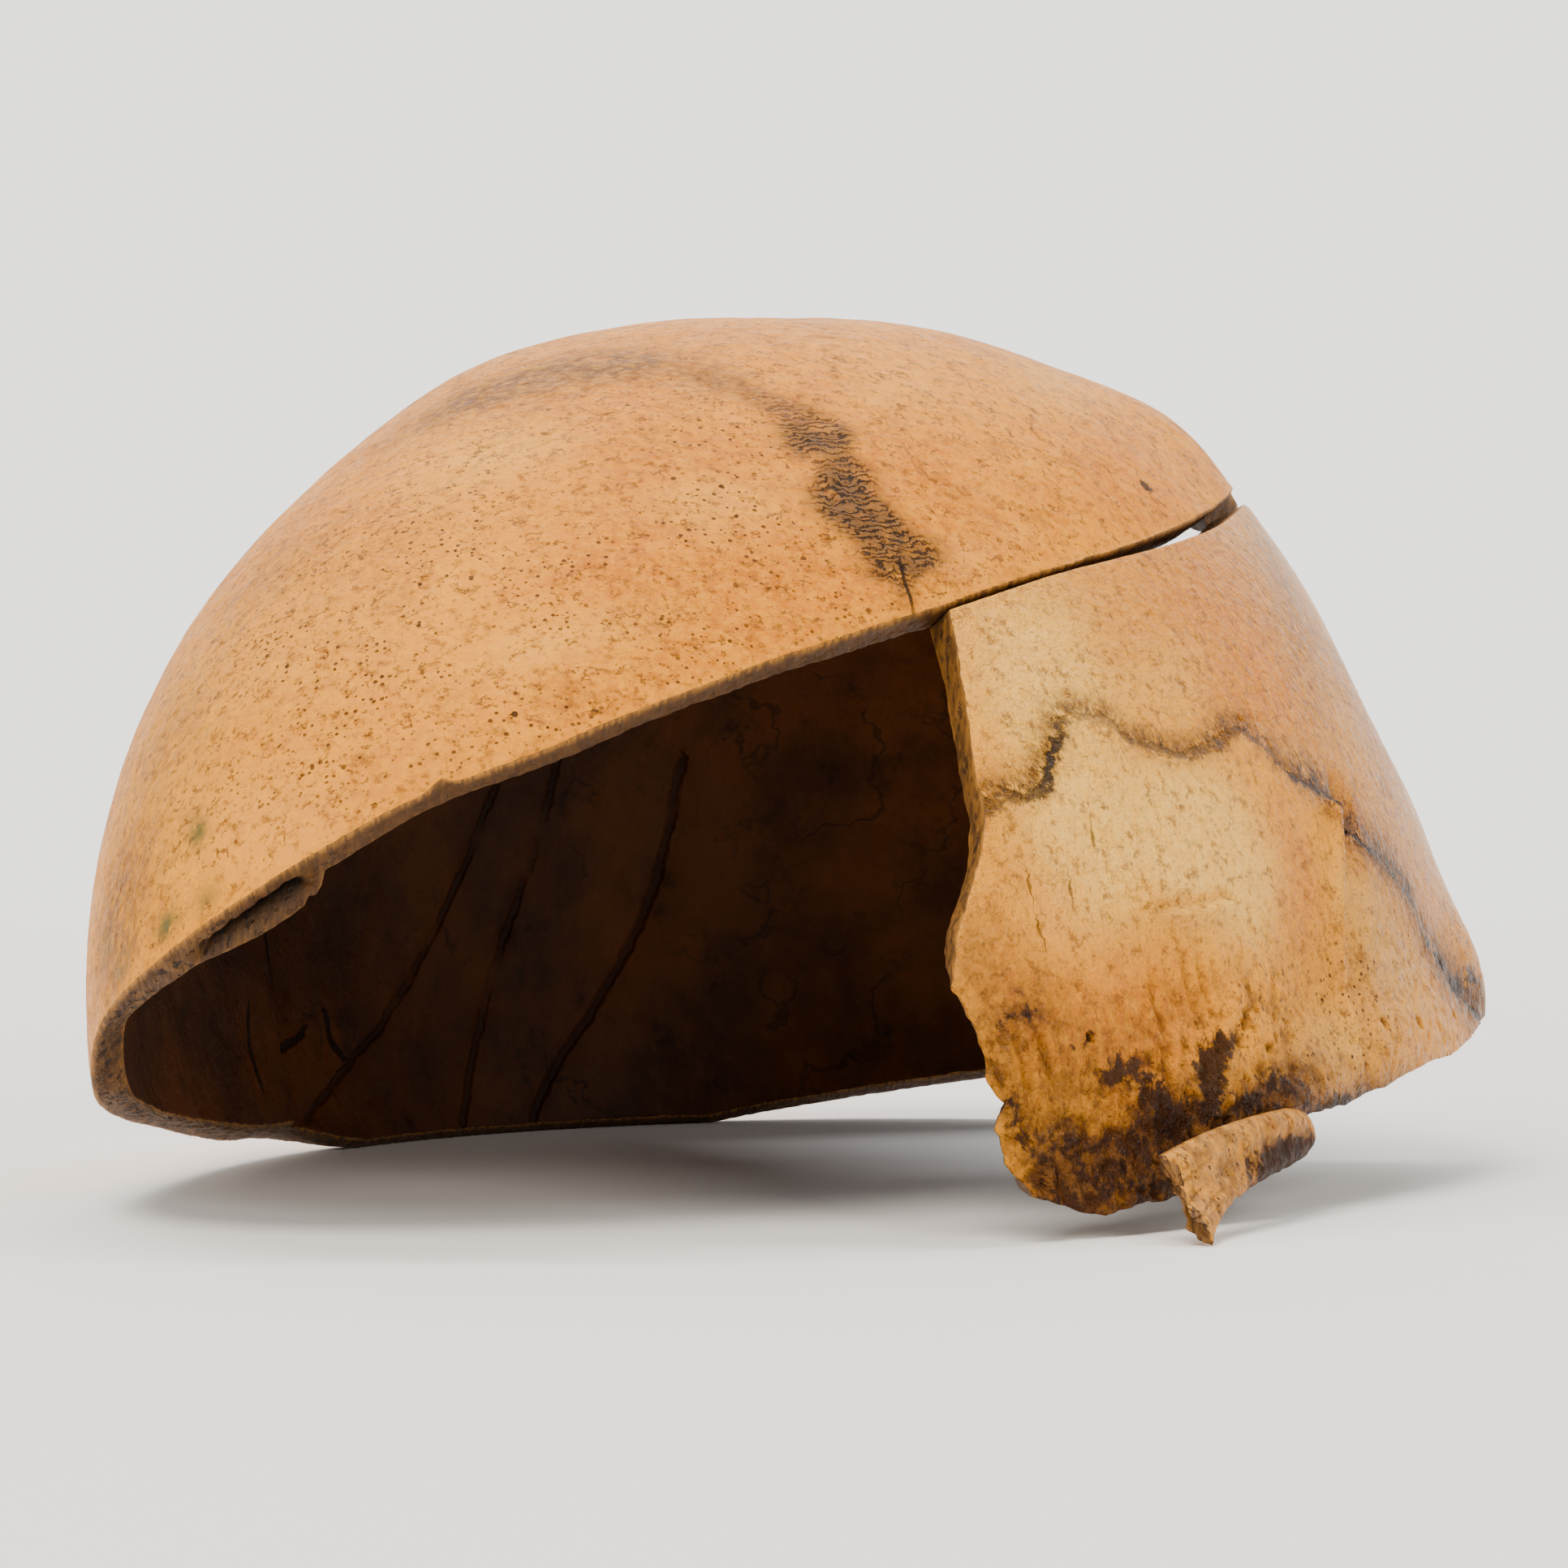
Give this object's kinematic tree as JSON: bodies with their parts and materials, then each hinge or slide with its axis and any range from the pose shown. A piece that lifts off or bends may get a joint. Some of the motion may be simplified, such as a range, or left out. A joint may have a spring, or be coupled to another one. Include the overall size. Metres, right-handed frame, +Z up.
{
  "type": "human skull cap",
  "caption": "Sawn cap of a human skull in honey-coloured bone, resting on its cut far edge, with a piece of the left side wall and its hooked arch stump under the saw cut.",
  "frame": {"origin": "centre of the bounding box at the height of the surface that the skull cap rests on", "axes": "+Z up; the camera looks along +Y; the forehead points left and towards the camera, the skull's left side right"},
  "size_m": [0.1348, 0.1607, 0.0853],
  "materials": {
    "honey_bone": "old dry skull bone, honey brown, handled smooth to a soft sheen, with fine dark pores",
    "pale_bone": "old dry temple bone, cream to honey brown, soft sheen, rough and stained at its lower edge"
  },
  "bodies": {
    "root": {"skull_cap": "honey_bone", "temporal_piece": "pale_bone"}
  },
  "joints": []
}
